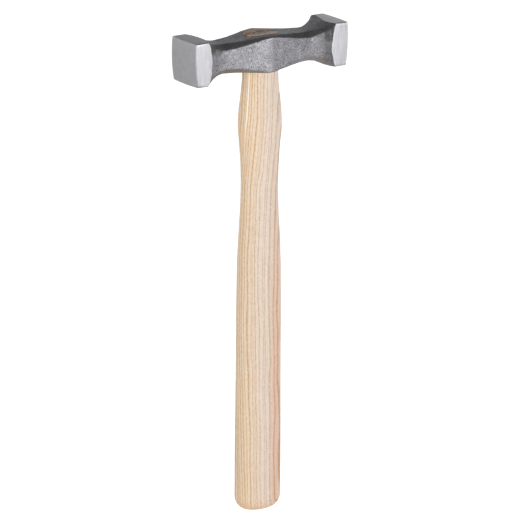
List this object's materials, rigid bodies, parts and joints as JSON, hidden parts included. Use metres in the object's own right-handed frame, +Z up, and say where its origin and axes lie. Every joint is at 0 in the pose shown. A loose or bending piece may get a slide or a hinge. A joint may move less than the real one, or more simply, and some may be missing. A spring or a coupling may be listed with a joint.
{
  "type": "square-faced planishing hammer",
  "caption": "Two-faced smith's planishing hammer: forged head with square striking faces, wedged on an oval ash handle, for smoothing sheet and hot-forged work.",
  "frame": {"origin": "lowest point of the handle's butt, on the handle's axis", "axes": "+Z up the handle towards the head; +X along the head from the fuller-domed face to the flatter one; +Y across the head"},
  "size_m": [0.1177, 0.0284, 0.3204],
  "materials": {
    "forged_steel": "forged and shot-blasted dark grey body, face blocks ground to a bright satin",
    "ash": "pale ash, sanded and lightly oiled, fine open grain along the handle",
    "wedge_wood": "darker hardwood end grain",
    "ring_steel": "plain steel tube, hammer-dulled rim"
  },
  "bodies": {
    "root": {"head": "forged_steel", "handle": "ash", "wooden_wedge": "wedge_wood", "ring_wedge": "ring_steel"}
  },
  "joints": []
}
